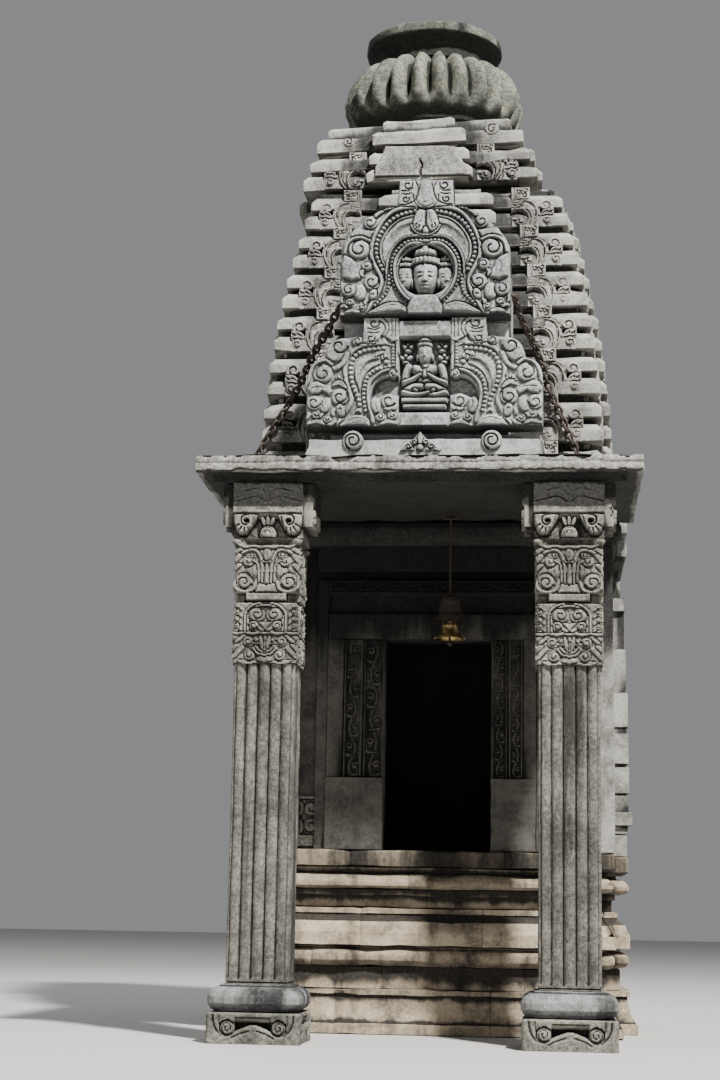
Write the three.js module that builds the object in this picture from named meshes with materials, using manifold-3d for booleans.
// A small hill shrine of grey stone: a square sanctum under a curved, stepped tower,
// with two fluted pillars that carry a porch slab in front of the door.
// Millimetres. X runs to the right, Y runs away from the front, Z is up.
// The origin lies on the ground, in the middle of the whole footprint.

import * as THREE from 'three';
import { mergeVertices } from 'three/addons/utils/BufferGeometryUtils.js';
import Module from 'manifold-3d';

const wasm = await Module();
wasm.setup();

// Driving dimensions of the plan
const PORCH_TO_TOWER = 1810;     // from the pedestals' front faces to the tower's centre
const BASE_HALF = 865;           // half width of the moulded base at its corners
const NICHE_STEP = 80;           // how far the middle of each side stands out
const BASE_NICHE_HALF = 420;     // half width of that middle part at the base
const FOOT_SPREAD = 34;          // how far the foot stands out past the base
const CUSHION_BULGE = 6;         // how far the pillars' cushions stand out past the pedestals
const INNER_HALF = 560;          // half width of the room inside

// The origin is in the middle between the cushions' fronts and the back of the foot.
const BACK_REACH = BASE_HALF + NICHE_STEP + FOOT_SPREAD;
const PORCH_FRONT = -(PORCH_TO_TOWER + BACK_REACH - CUSHION_BULGE) / 2;
const SHRINE_Y = PORCH_FRONT + PORCH_TO_TOWER;

// Levels of the base, from the ground up
const FOOT_TOP = 48;
const PLINTH_TOP = 199;
const BAND_TOP = 301;
const ROUND_TOP = 381;
const KUMBHA_TOP = 564;
const RECESS_TOP = 650;
const KAPOTA_TOP = 718;
const SILL_BOTTOM = 749;
const FLOOR_TOP = 826;

// Walls, eave and porch roof
const WALL_TOP = 2250;
const EAVE_TOP = 2360;
const ROOF_STEP = 40;            // thin lower layer of the porch roof
const ROOF_BOTTOM = EAVE_TOP + ROOF_STEP;
const ROOF_TOP = 2475;
const ROOF_HALF = 968;
const ROOF_BACK = SHRINE_Y - 650;
const ROOF_OVERHANG = 70;        // front and side overhang past the lower layer
const WALL_HALF = 862;
const WALL_FACE = 812;           // wall between the corner pilasters
const PILASTER_WIDTH = 200;
const FRONT_FACE = 772;          // front wall beside the door, measured from the centre

// Doorway, a little right of the middle as on the real shrine
const DOOR_LEFT = -207;
const DOOR_RIGHT = 293;
const DOOR_TOP = 1811;
const FRAME_LEFT = -477;
const FRAME_RIGHT = 503;
const FRAME_TOP = 2094;
const JAMB_BASE_TOP = 1160;

// Pillars
const PILLAR_X = 646.5;
const PEDESTAL_WIDTH = 390;
const PEDESTAL_TOP = 127;
const CUSHION_TOP = 236;
const SHAFT_WIDTH = 262;
const SHAFT_TOP = 1572;
const SHAFT_RIBS_PER_SIDE = 4;
const HEAD_WIDTH = 288;
const HEAD_TOP = 2118;
const CAPITAL_WIDTH = 302;
const PILLAR_Y = PORCH_FRONT + PEDESTAL_WIDTH / 2;

// Tower: courses of two bevelled mouldings each, on a curve
const COURSES = 8;
const FIRST_COURSE = 2525;
const FIRST_PITCH = 240;
const PITCH_RATIO = 0.981;
const TOWER_HALF = 820;
const CURVE_START = 2765;
const CURVE_RISE = 1610;
const CURVE_DROP = 295;
const CURVE_POWER = 1.73;
const CENTRE_BAND = 0.455;       // half width of the middle band over that of the course
const CENTRE_STEP = 60;
const COURSE_RECESS = 62;
const COURSE_BEVEL = 28;

// Crown of the tower, pushed a little to the left and leaning
const CROWN_BOTTOM = 4150;
const CROWN_HALF = 596;
const CROWN_SHIFT = -82;
const CROWN_PITCH = 222;
const CROWN_TILT = THREE.MathUtils.degToRad(-2.6);
const SLAB_HALF = 530;
const SLAB_HEIGHT = 165;
const AMALAKA_SHIFT = -55;
const AMALAKA_BOTTOM = 4600;
const AMALAKA_TOP = 4985;
const AMALAKA_RADIUS = 480;
const AMALAKA_RIBS = 24;
const CAP_BOTTOM = 5100;
const CAP_TOP = 5145;
const CAP_RADIUS = 364;

// Carved panels over the porch
const PANEL_FRONT = PORCH_FRONT + 400;
const UPPER_PANEL_FRONT = PANEL_FRONT - 35;
const PANEL_THICKNESS = 130;
const LEDGE_TOP = 2636;
const LOWER_PANEL_BOTTOM = 2695;
const LOWER_PANEL_TOP = 3208;
const LOWER_PANEL_HALF = 536;
const UPPER_PANEL_TOP = 3852;
const UPPER_PANEL_HALF = 390;

// Iron chains that hang from the panel block down to the porch roof
const CHAIN_RADIUS = 12;
// Points are [x, distance behind the porch front, z], and each chain ends on the roof.
const CHAIN_END = ROOF_TOP + 0.4;
const LEFT_CHAIN = [
  [-389.2, 588, 3322], [-402, 588, 3322], [-424, 606, 3300], [-471, 660, 3227], [-552, 760, 3134],
  [-610, 860, 3049], [-680, 940, 2952], [-737, 954, 2866], [-812, 958, 2734], [-846, 954, 2640],
  [-856, 952, 2540], [-857, 952, 2495], [-857, 952, CHAIN_END],
];
const RIGHT_CHAIN = [
  [389.2, 578, 3362], [401, 578, 3362], [428, 660, 3286], [469, 760, 3223], [506, 860, 3169],
  [539, 940, 3093], [568, 954, 2996], [611, 956, 2903], [662, 958, 2776], [710, 956, 2660],
  [732, 952, 2550], [735, 952, 2495], [735, 952, CHAIN_END],
];

// Two bells on one rod, which swings from a staple under the porch roof
const BELL_X = 112;
const BELL_Y = PORCH_FRONT + 700;
const STAPLE_Z = EAVE_TOP - 30;
const STAPLE_HALF = 30;
const STAPLE_RADIUS = 6;
const EYE_RADIUS = 11;
const EYE_WIRE = 4.5;
const ROD_RADIUS = 5;
const CLAPPER_BOTTOM = 1736;
const IRON_BELL = { rim: 1862, top: 1972, mouth: 69, crown: 40 };
const BRASS_BELL = { rim: 1772, top: 1856, mouth: 73, crown: 27 };
const BELL_WALL = 6;

const GAP = 0.3;                 // between faces that are not flat on each other

const stone = { roughness: 0.92, metalness: 0 };
const GREY_STONE = new THREE.MeshStandardMaterial({ color: 0x8c8c80, ...stone });
const PILLAR_STONE = new THREE.MeshStandardMaterial({ color: 0x86857a, ...stone });
const PANEL_STONE = new THREE.MeshStandardMaterial({ color: 0x74797d, ...stone });
const BASE_STONE = new THREE.MeshStandardMaterial({ color: 0x85786a, ...stone });
const DARK_STONE = new THREE.MeshStandardMaterial({ color: 0x57554d, ...stone });
const MOSSY_STONE = new THREE.MeshStandardMaterial({ color: 0x8f9384, ...stone });
const IRON = new THREE.MeshStandardMaterial({ color: 0x4a3b33, roughness: 0.75, metalness: 0.7 });
const BRASS = new THREE.MeshStandardMaterial({ color: 0xa98c45, roughness: 0.4, metalness: 0.9 });

const temple = new THREE.Group();

function addMesh(name, geometry, material, x = 0, y = 0, z = 0) {
  const mesh = new THREE.Mesh(geometry, material);
  mesh.name = name;
  mesh.position.set(x, y, z);
  temple.add(mesh);
  return mesh;
}

function box(x0, x1, y0, y1, z0, z1) {
  const geometry = new THREE.BoxGeometry(x1 - x0, y1 - y0, z1 - z0);
  geometry.translate((x0 + x1) / 2, (y0 + y1) / 2, (z0 + z1) / 2);
  return geometry;
}

// A plan outline raised between two levels.
function prism(outline, z0, z1) {
  const shape = new THREE.Shape(outline.map(([x, y]) => new THREE.Vector2(x, y)));
  const geometry = new THREE.ExtrudeGeometry(shape, { depth: z1 - z0, bevelEnabled: false });
  geometry.translate(0, 0, z0);
  return geometry;
}

// An outline in the XZ plane given a thickness in Y, from its front face backwards.
function plate(shape, front, thickness) {
  const geometry = new THREE.ExtrudeGeometry(shape, {
    depth: thickness, bevelEnabled: false, curveSegments: 6,
  });
  geometry.rotateX(Math.PI / 2);
  geometry.translate(0, front + thickness, 0);
  return geometry;
}

// Rings of equal length, one above the other, joined into one closed body.
function loft(rings) {
  const count = rings[0].outline.length;
  const positions = [];
  rings.forEach(({ z, outline }) => outline.forEach(([x, y]) => positions.push(x, y, z)));
  const index = [];
  for (let ring = 0; ring < rings.length - 1; ring += 1) {
    for (let k = 0; k < count; k += 1) {
      const a = ring * count + k;
      const b = ring * count + (k + 1) % count;
      index.push(a, b, b + count, a, b + count, a + count);
    }
  }
  const capOf = (ring) => THREE.ShapeUtils.triangulateShape(
    ring.outline.map(([x, y]) => new THREE.Vector2(x, y)), []);
  capOf(rings[0]).forEach(([a, b, c]) => index.push(a, c, b));
  const last = (rings.length - 1) * count;
  capOf(rings[rings.length - 1]).forEach(([a, b, c]) => index.push(last + a, last + b, last + c));
  const geometry = new THREE.BufferGeometry();
  geometry.setAttribute('position', new THREE.Float32BufferAttribute(positions, 3));
  geometry.setIndex(index);
  return geometry;
}

function toSolid(geometry) {
  const bare = geometry.clone();
  bare.deleteAttribute('normal');
  bare.deleteAttribute('uv');
  const merged = mergeVertices(bare, 1e-3);
  return new wasm.Manifold(new wasm.Mesh({
    numProp: 3,
    vertProperties: Float32Array.from(merged.attributes.position.array),
    triVerts: Uint32Array.from(merged.index.array),
  }));
}

function toGeometry(solid) {
  const mesh = solid.getMesh();
  const geometry = new THREE.BufferGeometry();
  geometry.setAttribute('position', new THREE.BufferAttribute(mesh.vertProperties, 3));
  geometry.setIndex(new THREE.BufferAttribute(mesh.triVerts, 1));
  return geometry;
}

function join(...geometries) {
  return toGeometry(geometries.map(toSolid).reduce((whole, piece) => whole.add(piece)));
}

function cut(geometry, ...tools) {
  return toGeometry(tools.map(toSolid).reduce((whole, tool) => whole.subtract(tool), toSolid(geometry)));
}

// A lathe profile of [radius, height] pairs, turned about the vertical axis.
function turned(profile, segments) {
  const geometry = new THREE.LatheGeometry(profile.map(([r, z]) => new THREE.Vector2(r, z)), segments);
  geometry.rotateX(Math.PI / 2);
  return geometry;
}

// Square plan of the base with a wider middle on the sides and the back.
function basePlan(grow) {
  const h = BASE_HALF + grow;
  const s = h + NICHE_STEP;
  const b = BASE_NICHE_HALF + grow;
  return [
    [-h, -h], [h, -h], [h, -b], [s, -b], [s, b], [h, b], [h, h], [b, h],
    [b, s], [-b, s], [-b, h], [-h, h], [-h, b], [-s, b], [-s, -b], [-h, -b],
  ];
}

function moulding(name, levels, material) {
  const rings = levels.map(([z, grow]) => ({ z, outline: basePlan(grow) }));
  addMesh(name, loft(rings), material, 0, SHRINE_Y, 0);
}

function addBase() {
  moulding('plinth', [
    [0, FOOT_SPREAD], [FOOT_TOP, FOOT_SPREAD], [FOOT_TOP, FOOT_SPREAD - 10], [86, 4], [126, -9], [172, -14],
    [172, -2], [PLINTH_TOP, -2],
  ], BASE_STONE);
  moulding('plinth_band', [[PLINTH_TOP, -45], [BAND_TOP, -45]], DARK_STONE);
  moulding('round_moulding', [
    [BAND_TOP, -42], [BAND_TOP + 10, -18], [BAND_TOP + 26, -6], [BAND_TOP + 54, -6],
    [BAND_TOP + 70, -18], [ROUND_TOP, -42],
  ], BASE_STONE);
  moulding('pot_moulding', [
    [ROUND_TOP, -45], [392, -45], [392, 0], [452, 0], [503, -22], [535, -62],
    [535, -54], [KUMBHA_TOP, -54],
  ], BASE_STONE);
  moulding('recess_band', [
    [KUMBHA_TOP, -82], [618, -82], [618, -66], [RECESS_TOP, -66],
  ], DARK_STONE);
  moulding('eave_moulding', [
    [RECESS_TOP, -24], [661, -6], [684, -6], [704, -20], [KAPOTA_TOP, -44],
    [KAPOTA_TOP, -62], [SILL_BOTTOM, -62],
  ], BASE_STONE);
  moulding('floor_slab', [[SILL_BOTTOM, -4], [FLOOR_TOP - 10, -4], [FLOOR_TOP, -12]], BASE_STONE);
}

function addWalls() {
  const pilaster = WALL_HALF - PILASTER_WIDTH;
  const sideWall = [
    [pilaster, -WALL_HALF], [WALL_HALF, -WALL_HALF], [WALL_HALF, -pilaster], [WALL_FACE, -pilaster],
    [WALL_FACE, pilaster], [WALL_HALF, pilaster], [WALL_HALF, WALL_HALF], [pilaster, WALL_HALF],
    [pilaster, INNER_HALF], [INNER_HALF, INNER_HALF], [INNER_HALF, -INNER_HALF], [pilaster, -INNER_HALF],
  ];
  const mirrored = sideWall.map(([x, y]) => [-x, y]).reverse();
  addMesh('right_wall', prism(sideWall, FLOOR_TOP, WALL_TOP), GREY_STONE, 0, SHRINE_Y, 0);
  addMesh('left_wall', prism(mirrored, FLOOR_TOP, WALL_TOP), GREY_STONE, 0, SHRINE_Y, 0);
  addMesh('back_wall', box(-pilaster, pilaster, INNER_HALF, WALL_FACE, FLOOR_TOP, WALL_TOP),
    GREY_STONE, 0, SHRINE_Y, 0);

  const stripWidth = 52;
  const stripStep = 28;
  const frontWall = (outer, inner) => {
    const side = Math.sign(outer - inner);
    return prism([
      [inner, -INNER_HALF], [inner, -FRONT_FACE - stripStep],
      [inner + side * stripWidth, -FRONT_FACE - stripStep], [inner + side * stripWidth, -FRONT_FACE],
      [outer, -FRONT_FACE], [outer, -INNER_HALF],
    ], FLOOR_TOP, FRAME_TOP);
  };
  addMesh('front_wall_left', frontWall(-pilaster, FRAME_LEFT), DARK_STONE, 0, SHRINE_Y, 0);
  addMesh('front_wall_right', frontWall(pilaster, FRAME_RIGHT), DARK_STONE, 0, SHRINE_Y, 0);
  addMesh('front_wall_top', join(
    box(-pilaster, pilaster, -FRONT_FACE, -INNER_HALF, FRAME_TOP, WALL_TOP),
    box(FRAME_LEFT - stripWidth, FRAME_RIGHT + stripWidth, -FRONT_FACE - 60, -FRONT_FACE + 20,
      FRAME_TOP + 40, WALL_TOP),
  ), DARK_STONE, 0, SHRINE_Y, 0);
}

// One side of the door frame: bands that step back to the opening, on a block at the foot.
function addJamb(name, outer, inner) {
  const side = Math.sign(inner - outer);
  const width = Math.abs(inner - outer);
  const back = -INNER_HALF - 60;
  const steps = [[0, 0.28, 40], [0.28, 0.62, 26], [0.62, 1, 12]];
  const bands = steps.map(([from, to, proud]) => {
    const ends = [outer + side * from * width, outer + side * to * width].sort((a, b) => a - b);
    return box(ends[0], ends[1], -FRONT_FACE - proud, back, FLOOR_TOP, DOOR_TOP);
  });
  const ends = [outer, inner].sort((a, b) => a - b);
  const foot = box(ends[0], ends[1], -FRONT_FACE - 56, back, FLOOR_TOP, JAMB_BASE_TOP);
  addMesh(name, join(...bands, foot), DARK_STONE, 0, SHRINE_Y, 0);
}

function addDoorFrame() {
  addJamb('left_door_jamb', FRAME_LEFT, DOOR_LEFT);
  addJamb('right_door_jamb', FRAME_RIGHT, DOOR_RIGHT);
  const back = -INNER_HALF - 60;
  const lintelTop = 1931;
  const friezeTop = 2020;
  addMesh('door_lintel', join(
    box(FRAME_LEFT, FRAME_RIGHT, -FRONT_FACE - 40, back, DOOR_TOP, lintelTop),
    box(FRAME_LEFT, FRAME_RIGHT, -FRONT_FACE - 10, back, lintelTop, friezeTop),
    box(FRAME_LEFT, FRAME_RIGHT, -FRONT_FACE - 50, back, friezeTop, FRAME_TOP),
  ), DARK_STONE, 0, SHRINE_Y, 0);
}

// Shallow niche between two small columns, standing out from the middle of a wall.
function nicheGeometry() {
  const half = 330;
  const columnWidth = 120;
  const front = BASE_HALF + NICHE_STEP;
  const back = WALL_FACE;
  const slab = box(-half + 20, half - 20, -front + 75, -back, FLOOR_TOP, 2180);
  const columns = [-1, 1].flatMap((side) => {
    const x = side * (half - columnWidth / 2);
    const part = (grow, z0, z1) => box(
      x - columnWidth / 2 - grow, x + columnWidth / 2 + grow, -front - grow, -back, z0, z1);
    return [
      part(-8, FLOOR_TOP, 935), part(18, 975, 1040), part(2, 1040, 1120), part(6, 1130, 1258),
      part(4, 1272, 1420), part(-6, 1420, 1835), part(2, 1450, 1620), part(-14, 1835, 2020),
      part(-2, 935, 975), part(-10, 1120, 1272),
    ];
  });
  const foot = box(-half, half, -front + 6, -back, FLOOR_TOP, 930);
  const head = box(-half - 10, half + 10, -front + 12, -back, 2020, 2090);
  const brow = box(-half + 60, half - 60, -front + 30, -back, 2090, 2180);
  return join(slab, ...columns, foot, head, brow);
}

function addNiches() {
  const niches = [['right_niche', Math.PI / 2], ['back_niche', Math.PI], ['left_niche', -Math.PI / 2]];
  niches.forEach(([name, turn]) => {
    addMesh(name, nicheGeometry(), GREY_STONE, 0, SHRINE_Y, 0).rotation.z = turn;
  });
}

// Plan of the eave and of the roof course behind the porch slab.
function eavePlan(half, middle, step) {
  return [
    [-half, -half], [half, -half], [half, -middle], [half + step, -middle], [half + step, middle],
    [half, middle], [half, half], [middle, half], [middle, half + step], [-middle, half + step],
    [-middle, half], [-half, half], [-half, middle], [-half - step, middle],
    [-half - step, -middle], [-half, -middle],
  ];
}

function addEaveAndRoof() {
  const middle = 390;
  addMesh('eave_course', loft([
    { z: WALL_TOP, outline: eavePlan(876, middle - 20, 44) },
    { z: 2284, outline: eavePlan(884, middle - 12, 44) },
    { z: 2284, outline: eavePlan(898, middle, 44) },
    { z: 2330, outline: eavePlan(902, middle, 44) },
    { z: EAVE_TOP, outline: eavePlan(884, middle, 44) },
  ]), GREY_STONE, 0, SHRINE_Y, 0);

  const under = ROOF_HALF - ROOF_OVERHANG;
  const upperBevel = 10;
  addMesh('porch_roof', join(
    box(-ROOF_HALF, ROOF_HALF, PORCH_FRONT, ROOF_BACK, ROOF_BOTTOM, ROOF_TOP - upperBevel),
    box(-ROOF_HALF + upperBevel, ROOF_HALF - upperBevel, PORCH_FRONT + upperBevel, ROOF_BACK,
      ROOF_TOP - 2 * upperBevel, ROOF_TOP),
    box(-under, under, PORCH_FRONT + ROOF_OVERHANG, ROOF_BACK, EAVE_TOP, ROOF_BOTTOM + 1),
  ), GREY_STONE);

  const courseFront = ROOF_BACK - SHRINE_Y;
  const half = 900;
  const step = 45;
  const plan = (grow) => {
    const h = half + grow;
    const m = middle + grow;
    return [
      [-h, courseFront], [h, courseFront], [h, -m], [h + step, -m], [h + step, m], [h, m], [h, h], [m, h],
      [m, h + step], [-m, h + step], [-m, h], [-h, h], [-h, m], [-h - step, m], [-h - step, -m], [-h, -m],
    ];
  };
  addMesh('roof_course', loft([
    { z: EAVE_TOP, outline: plan(-60) }, { z: ROOF_BOTTOM, outline: plan(-60) },
    { z: ROOF_BOTTOM, outline: plan(0) }, { z: ROOF_TOP - 25, outline: plan(0) },
    { z: ROOF_TOP, outline: plan(-25) },
  ]), GREY_STONE, 0, SHRINE_Y, 0);
}

// Half width of the tower at a height.
function towerHalf(z) {
  const rise = Math.max(0, z - CURVE_START) / CURVE_RISE;
  return TOWER_HALF - CURVE_DROP * rise ** CURVE_POWER;
}

function coursePlan(half, grow) {
  const h = half + grow;
  const s = half + CENTRE_STEP + grow;
  const m = half * CENTRE_BAND + grow;
  return [
    [-h, -h], [-m, -h], [-m, -s], [m, -s], [m, -h], [h, -h], [h, -m], [s, -m], [s, m], [h, m],
    [h, h], [m, h], [m, s], [-m, s], [-m, h], [-h, h], [-h, m], [-s, m], [-s, -m], [-h, -m],
  ];
}

// A course from its soffit up: moulding, gap, moulding, gap. Extra is a growth all round.
function courseRings(z0, pitch, lowerHalf, upperHalf, extra = 0) {
  const level = (part, half, grow) => ({ z: z0 + part * pitch, outline: coursePlan(half, grow + extra) });
  return [
    level(0, lowerHalf, 0), level(0.24, lowerHalf, 0), level(0.38, lowerHalf, -COURSE_BEVEL),
    level(0.38, lowerHalf, -COURSE_RECESS), level(0.5, upperHalf, -COURSE_RECESS),
    level(0.5, upperHalf, 0), level(0.71, upperHalf, 0), level(0.85, upperHalf, -COURSE_BEVEL),
    level(0.85, upperHalf, -COURSE_RECESS), level(1, upperHalf, -COURSE_RECESS),
  ];
}

function courseBottom(number) {
  let z = FIRST_COURSE;
  for (let k = 0; k < number; k += 1) z += FIRST_PITCH * PITCH_RATIO ** k;
  return z;
}

function towerCourse(k, extra) {
  const z0 = courseBottom(k);
  const pitch = courseBottom(k + 1) - z0;
  return loft(courseRings(z0, pitch, towerHalf(z0), towerHalf(z0 + 0.5 * pitch), extra));
}

function addTower() {
  addMesh('tower_sill', prism(coursePlan(TOWER_HALF, -COURSE_RECESS), ROOF_TOP, FIRST_COURSE),
    GREY_STONE, 0, SHRINE_Y, 0);
  for (let k = 0; k < COURSES - 1; k += 1) {
    addMesh(`tower_course_${k + 1}`, towerCourse(k, 0), GREY_STONE, 0, SHRINE_Y, 0);
  }
}

// Cuts a block that runs into the tower back to the faces of the courses.
function fitToTower(geometry, firstCourse, lastCourse) {
  const tools = [];
  for (let k = firstCourse; k <= lastCourse; k += 1) {
    const tool = towerCourse(k, GAP);
    tool.translate(0, SHRINE_Y, 0);
    tools.push(tool);
  }
  return cut(geometry, ...tools);
}

// Turns a shape about the front-to-back line through the crown's foot.
function lean(geometry) {
  geometry.translate(0, 0, -CROWN_BOTTOM);
  geometry.rotateY(CROWN_TILT);
  geometry.translate(CROWN_SHIFT, 0, CROWN_BOTTOM);
  return geometry;
}

function addCrown() {
  const neckBottom = courseBottom(COURSES - 1);
  const rings = courseRings(CROWN_BOTTOM, CROWN_PITCH, CROWN_HALF, CROWN_HALF - 34);
  const mouldings = lean(loft(rings));
  const neckHalf = CROWN_HALF - 120;
  const neck = box(-neckHalf + CROWN_SHIFT, neckHalf + CROWN_SHIFT, -neckHalf, neckHalf,
    neckBottom, CROWN_BOTTOM + 80);
  const below = box(-900, 900, -900, 900, neckBottom - 400, neckBottom);
  addMesh('crown_course', cut(join(mouldings, neck), below), GREY_STONE, 0, SHRINE_Y, 0);

  const slabBottom = CROWN_BOTTOM + CROWN_PITCH + GAP;
  const slab = lean(loft([
    { z: slabBottom, outline: coursePlan(SLAB_HALF, 0) },
    { z: slabBottom + 62, outline: coursePlan(SLAB_HALF, 0) },
    { z: slabBottom + 88, outline: coursePlan(SLAB_HALF, -26) },
    { z: slabBottom + 88, outline: coursePlan(SLAB_HALF, -56) },
    { z: slabBottom + SLAB_HEIGHT - 20, outline: coursePlan(SLAB_HALF, -56) },
    { z: slabBottom + SLAB_HEIGHT, outline: coursePlan(SLAB_HALF, -76) },
  ]));
  addMesh('skandha_slab', slab, GREY_STONE, 0, SHRINE_Y, 0);

  const neckRadius = 300;
  const neckTool = lean(box(-900, 900, -900, 900, slabBottom - 600, slabBottom + SLAB_HEIGHT + GAP));
  const shaft = turned([[0, slabBottom], [neckRadius, slabBottom], [neckRadius, AMALAKA_BOTTOM],
    [0, AMALAKA_BOTTOM]], 24);
  shaft.translate(AMALAKA_SHIFT, 0, 0);
  addMesh('summit_neck', cut(shaft, neckTool), GREY_STONE, 0, SHRINE_Y, 0);
}

// Ribbed stone ring: convex ribs with sharp grooves between them.
function addAmalaka() {
  const height = AMALAKA_TOP - AMALAKA_BOTTOM;
  const stepsPerRib = 4;
  const count = AMALAKA_RIBS * stepsPerRib;
  const profile = [[0, 0.72], [0.1, 0.86], [0.28, 0.965], [0.5, 1], [0.72, 0.97], [0.88, 0.87], [1, 0.72]];
  const rings = profile.map(([part, size]) => ({
    z: AMALAKA_BOTTOM + part * height,
    outline: Array.from({ length: count }, (_, k) => {
      const angle = 2 * Math.PI * k / count;
      const bulge = Math.sin(Math.PI * (k % stepsPerRib) / stepsPerRib);
      const radius = AMALAKA_RADIUS * size * (0.9 + 0.1 * bulge);
      return [radius * Math.cos(angle), radius * Math.sin(angle)];
    }),
  }));
  addMesh('amalaka', loft(rings), MOSSY_STONE, AMALAKA_SHIFT, SHRINE_Y, 0);

  const lip = 12;
  addMesh('cap_disc', turned([
    [0, AMALAKA_TOP], [292, AMALAKA_TOP], [300, CAP_BOTTOM - 36], [CAP_RADIUS - 14, CAP_BOTTOM - 6],
    [CAP_RADIUS, CAP_BOTTOM + lip], [CAP_RADIUS, CAP_TOP - lip], [CAP_RADIUS - lip, CAP_TOP], [0, CAP_TOP],
  ], 48), MOSSY_STONE, AMALAKA_SHIFT, SHRINE_Y, 0);
}

// Outline of a panel from the points of its right half, mirrored to the left.
function mirroredShape(right) {
  const left = right.map(([x, z]) => [-x, z]).reverse();
  return new THREE.Shape([...right, ...left].map(([x, z]) => new THREE.Vector2(x, z)));
}

function addPanels() {
  const ledgeBack = SHRINE_Y - TOWER_HALF - CENTRE_STEP - GAP;
  const ledge = plate(mirroredShape([[565, ROOF_TOP], [565, 2520], [520, 2600], [520, LEDGE_TOP]]),
    PANEL_FRONT, 200);
  const core = box(-440, 440, PANEL_FRONT + 150, ledgeBack, ROOF_TOP, LOWER_PANEL_BOTTOM);
  addMesh('panel_ledge', join(ledge, core), PANEL_STONE);

  const shoulder = new THREE.Shape();
  const stemInner = 118;
  const stemOuter = 287;
  const lintelTop = LOWER_PANEL_TOP - 72;
  shoulder.moveTo(-LOWER_PANEL_HALF, LOWER_PANEL_BOTTOM);
  shoulder.lineTo(LOWER_PANEL_HALF, LOWER_PANEL_BOTTOM);
  shoulder.lineTo(LOWER_PANEL_HALF, LOWER_PANEL_BOTTOM + 215);
  shoulder.quadraticCurveTo(520, 3030, 430, 3085);
  shoulder.lineTo(395, LOWER_PANEL_TOP - 110);
  shoulder.lineTo(stemOuter, LOWER_PANEL_TOP - 110);
  shoulder.lineTo(stemOuter, LOWER_PANEL_TOP);
  shoulder.lineTo(stemInner, LOWER_PANEL_TOP);
  shoulder.lineTo(stemInner, lintelTop);
  shoulder.lineTo(-stemInner, lintelTop);
  shoulder.lineTo(-stemInner, LOWER_PANEL_TOP);
  shoulder.lineTo(-stemOuter, LOWER_PANEL_TOP);
  shoulder.lineTo(-stemOuter, LOWER_PANEL_TOP - 110);
  shoulder.lineTo(-395, LOWER_PANEL_TOP - 110);
  shoulder.lineTo(-430, 3085);
  shoulder.quadraticCurveTo(-520, 3030, -LOWER_PANEL_HALF, LOWER_PANEL_BOTTOM + 215);
  const lowerFace = plate(shoulder, PANEL_FRONT, PANEL_THICKNESS);
  const blockFront = PANEL_FRONT + PANEL_THICKNESS - 40;
  const blockBack = SHRINE_Y - TOWER_HALF + COURSE_RECESS;
  const lowerCore = box(-UPPER_PANEL_HALF + 12, UPPER_PANEL_HALF - 12, blockFront, blockBack,
    LOWER_PANEL_BOTTOM, LOWER_PANEL_TOP);
  const nicheHalf = 118;
  const figureNiche = box(-nicheHalf, nicheHalf, PANEL_FRONT - 10, PANEL_FRONT + 70,
    LOWER_PANEL_BOTTOM + 62, 3112);
  const lowerPanel = cut(join(lowerFace, lowerCore), figureNiche);
  addMesh('lower_panel', fitToTower(lowerPanel, 0, 3), PANEL_STONE);

  const upper = new THREE.Shape();
  const low = LOWER_PANEL_TOP + GAP;
  const stem = 124;
  const ringCentre = 3492;
  upper.moveTo(-UPPER_PANEL_HALF, low);
  upper.lineTo(UPPER_PANEL_HALF, low);
  upper.lineTo(UPPER_PANEL_HALF, ringCentre - 30);
  upper.bezierCurveTo(UPPER_PANEL_HALF, 3600, 270, 3700, stem, 3724);
  upper.lineTo(stem, UPPER_PANEL_TOP);
  upper.lineTo(-stem, UPPER_PANEL_TOP);
  upper.lineTo(-stem, 3724);
  upper.bezierCurveTo(-270, 3700, -UPPER_PANEL_HALF, 3600, -UPPER_PANEL_HALF, ringCentre - 30);
  const upperFace = plate(upper, UPPER_PANEL_FRONT, PANEL_THICKNESS);
  const upperCore = box(-UPPER_PANEL_HALF + 2, UPPER_PANEL_HALF - 2, blockFront, blockBack, low, 3470);
  const stepCore = box(-300, 300, blockFront, blockBack + 60, 3465, 3640);
  const topCore = box(-118, 118, blockFront, blockBack + 110, 3635, 3800);
  const faceNiche = new THREE.CylinderGeometry(132, 132, 100, 24);
  faceNiche.translate(0, UPPER_PANEL_FRONT + 20, ringCentre - 50);
  const upperPanel = cut(join(upperFace, upperCore, stepCore, topCore), faceNiche);
  addMesh('upper_panel', fitToTower(upperPanel, 2, 6), PANEL_STONE);
}

// Fluted outline: ribs of equal width along a square with rounded corners.
function fluteOutline(width, depth) {
  const perRib = 4;
  const ribs = SHAFT_RIBS_PER_SIDE * 4;
  const corner = 0.2;
  const outline = [];
  for (let k = 0; k < ribs * perRib; k += 1) {
    const angle = 2 * Math.PI * k / (ribs * perRib);
    const c = Math.cos(angle);
    const s = Math.sin(angle);
    const square = 1 / (Math.abs(c) ** (2 / corner * 0.6) + Math.abs(s) ** (2 / corner * 0.6)) ** (corner / 1.2);
    const bulge = Math.sin(Math.PI * (k % perRib) / perRib);
    const radius = square * (width / 2 - depth * (1 - bulge));
    outline.push([radius * c, radius * s]);
  }
  return outline;
}

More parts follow.
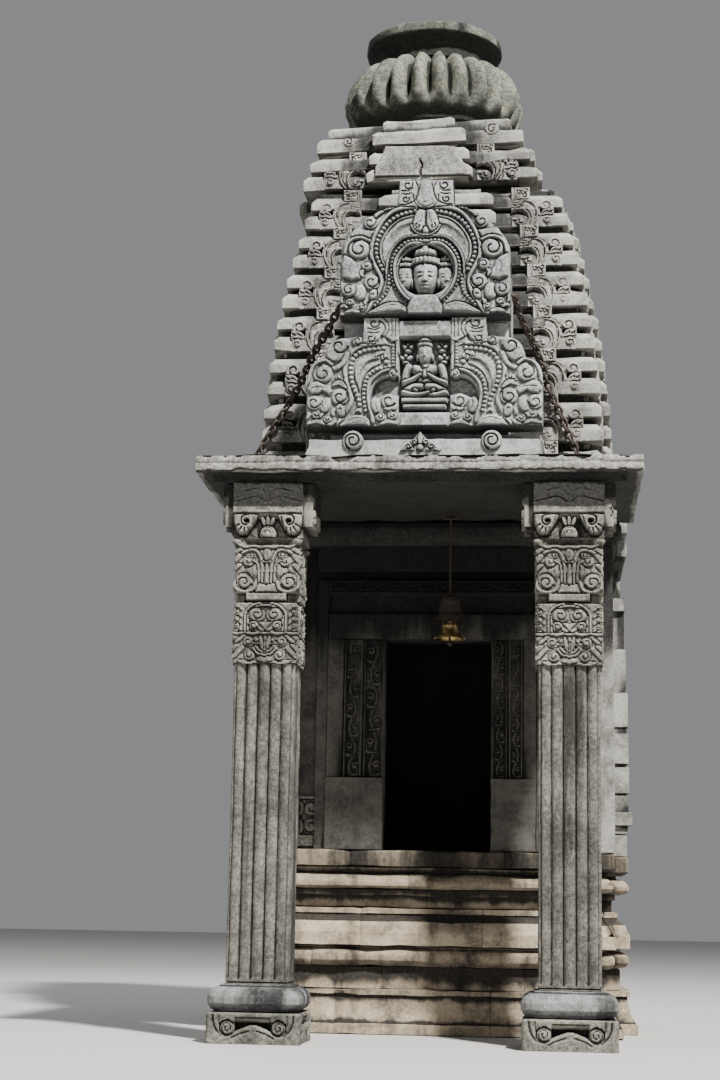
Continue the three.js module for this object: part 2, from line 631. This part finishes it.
function addPillar(side, x) {
  const pedestalHalf = PEDESTAL_WIDTH / 2;
  addMesh(`${side}_pedestal`, loft([
    { z: 0, outline: squarePlan(pedestalHalf) },
    { z: PEDESTAL_TOP - 6, outline: squarePlan(pedestalHalf) },
    { z: PEDESTAL_TOP, outline: squarePlan(pedestalHalf - 6) },
  ]), PILLAR_STONE, x, PILLAR_Y, 0);

  const cushionHalf = pedestalHalf + CUSHION_BULGE;
  const cushion = [[0, 172], [0.14, 190], [0.34, 201], [0.62, 201], [0.84, 191], [1, 168]];
  const cushionHeight = CUSHION_TOP - 10 - PEDESTAL_TOP;
  const cushionRings = cushion.map(([part, half]) => ({
    z: PEDESTAL_TOP + part * cushionHeight, outline: roundedPlan(half, 70 * half / cushionHalf),
  }));
  cushionRings.push({ z: CUSHION_TOP - 10, outline: roundedPlan(150, 20) });
  cushionRings.push({ z: CUSHION_TOP, outline: roundedPlan(148, 20) });
  addMesh(`${side}_cushion`, loft(cushionRings), PILLAR_STONE, x, PILLAR_Y, 0);

  const foot = 30;
  const collar = 36;
  const half = SHAFT_WIDTH / 2;
  addMesh(`${side}_shaft`, join(
    loft([{ z: CUSHION_TOP, outline: squarePlan(half + 2) }, { z: CUSHION_TOP + foot, outline: squarePlan(half) }]),
    loft([
      { z: CUSHION_TOP + foot - 2, outline: fluteOutline(SHAFT_WIDTH, 13) },
      { z: SHAFT_TOP - collar + 2, outline: fluteOutline(SHAFT_WIDTH, 13) },
    ]),
    loft([{ z: SHAFT_TOP - collar, outline: squarePlan(half - 4) }, { z: SHAFT_TOP, outline: squarePlan(half) }]),
  ), PILLAR_STONE, x, PILLAR_Y, 0);

  const w = HEAD_WIDTH / 2;
  addMesh(`${side}_pillar_head`, loft([
    { z: SHAFT_TOP, outline: squarePlan(w) }, { z: 1838, outline: squarePlan(w) },
    { z: 1838, outline: squarePlan(w - 40) }, { z: 1845, outline: squarePlan(w - 40) },
    { z: 1845, outline: squarePlan(w - 50) }, { z: 1868, outline: squarePlan(w - 50) },
    { z: 1868, outline: squarePlan(w) }, { z: 2072, outline: squarePlan(w + 2) },
    { z: 2076, outline: squarePlan(w - 26) }, { z: 2100, outline: squarePlan(w - 14) },
    { z: HEAD_TOP, outline: squarePlan(w - 6) },
  ]), PILLAR_STONE, x, PILLAR_Y, 0);

  const c = CAPITAL_WIDTH / 2;
  const arm = 192;
  const armHalf = 118;
  const armBottom = 2168;
  const block = box(-c, c, -c, c, HEAD_TOP, EAVE_TOP);
  const crossArm = box(-arm, arm, -armHalf, armHalf, armBottom, EAVE_TOP);
  const backArm = box(-armHalf, armHalf, 0, arm, armBottom, EAVE_TOP);
  addMesh(`${side}_capital`, join(block, crossArm, backArm), PILLAR_STONE, x, PILLAR_Y, 0);
}

function squarePlan(half) {
  return [[-half, -half], [half, -half], [half, half], [-half, half]];
}

// Square plan with round corners.
function roundedPlan(half, radius) {
  const perCorner = 5;
  const centre = half - radius;
  return [[1, -1], [1, 1], [-1, 1], [-1, -1]].flatMap(([sx, sy], corner) => (
    Array.from({ length: perCorner }, (_, k) => {
      const angle = (corner - 1 + k / (perCorner - 1)) * Math.PI / 2;
      return [sx * centre + radius * Math.cos(angle), sy * centre + radius * Math.sin(angle)];
    })
  ));
}

function addChain(name, points) {
  const path = new THREE.CatmullRomCurve3(points.map(
    ([x, back, z]) => new THREE.Vector3(x, PORCH_FRONT + back, z)));
  const sides = 8;
  const ring = Array.from({ length: sides }, (_, k) => new THREE.Vector2(
    CHAIN_RADIUS * Math.cos(2 * Math.PI * k / sides), CHAIN_RADIUS * Math.sin(2 * Math.PI * k / sides)));
  const steps = Math.round(path.getLength() / 50);
  addMesh(name, new THREE.ExtrudeGeometry(new THREE.Shape(ring), { extrudePath: path, steps }), IRON);
}

// Open bell with a hole for the rod through its crown.
function bellGeometry({ rim, top, mouth, crown }) {
  const hole = ROD_RADIUS + GAP;
  const height = top - rim;
  const outer = [
    [hole, top], [crown * 0.75, top - 3], [crown, top - 0.12 * height], [crown + 6, top - 0.5 * height],
    [crown + 0.45 * (mouth - crown), rim + 0.2 * height], [mouth, rim],
  ];
  const inner = [
    [mouth - BELL_WALL, rim], [crown + 0.45 * (mouth - crown) - BELL_WALL, rim + 0.2 * height],
    [crown, top - 0.5 * height], [crown - BELL_WALL, top - 0.16 * height],
    [crown * 0.6, top - BELL_WALL - 3], [hole, top - BELL_WALL - 3],
  ];
  return turned([...inner.reverse(), ...outer.reverse(), inner[0]], 24);
}

function addBells() {
  const pin = new THREE.CylinderGeometry(STAPLE_RADIUS, STAPLE_RADIUS, 2 * STAPLE_HALF, 12);
  pin.rotateZ(Math.PI / 2);
  pin.translate(0, 0, STAPLE_Z);
  const legs = [-1, 1].map((side) => {
    const leg = box(-STAPLE_RADIUS, STAPLE_RADIUS, -STAPLE_RADIUS, STAPLE_RADIUS,
      STAPLE_Z - STAPLE_RADIUS, EAVE_TOP);
    leg.translate(side * STAPLE_HALF, 0, 0);
    return leg;
  });
  addMesh('bell_staple', join(pin, ...legs), IRON, BELL_X, BELL_Y, 0);

  const eye = new THREE.TorusGeometry(EYE_RADIUS, EYE_WIRE, 8, 20);
  eye.rotateY(Math.PI / 2);
  eye.translate(0, 0, STAPLE_Z);
  const rodTop = STAPLE_Z - EYE_RADIUS;
  const crownFloor = (bell) => bell.top - BELL_WALL - 3 - GAP;
  const washer = 4;
  const washerRadius = 13;
  const collar = (bell) => [
    [ROD_RADIUS, crownFloor(bell) - washer - 6], [washerRadius, crownFloor(bell) - washer],
    [washerRadius, crownFloor(bell)], [ROD_RADIUS, crownFloor(bell)],
  ];
  const clapper = [
    [0, CLAPPER_BOTTOM], [9, CLAPPER_BOTTOM + 4], [12, CLAPPER_BOTTOM + 12], [9, CLAPPER_BOTTOM + 20],
    [ROD_RADIUS, CLAPPER_BOTTOM + 28],
  ];
  const rod = turned([...clapper, ...collar(BRASS_BELL), ...collar(IRON_BELL),
    [ROD_RADIUS, rodTop], [0, rodTop]], 12);
  addMesh('bell_rod', join(rod, eye), IRON, BELL_X, BELL_Y, 0);
  addMesh('iron_bell', bellGeometry(IRON_BELL), IRON, BELL_X, BELL_Y, 0);
  addMesh('brass_bell', bellGeometry(BRASS_BELL), BRASS, BELL_X, BELL_Y, 0);
}

addBase();
addWalls();
addDoorFrame();
addNiches();
addEaveAndRoof();
addTower();
addCrown();
addAmalaka();
addPanels();
addPillar('left', -PILLAR_X);
addPillar('right', PILLAR_X);
addChain('left_chain', LEFT_CHAIN);
addChain('right_chain', RIGHT_CHAIN);
addBells();

export default temple;
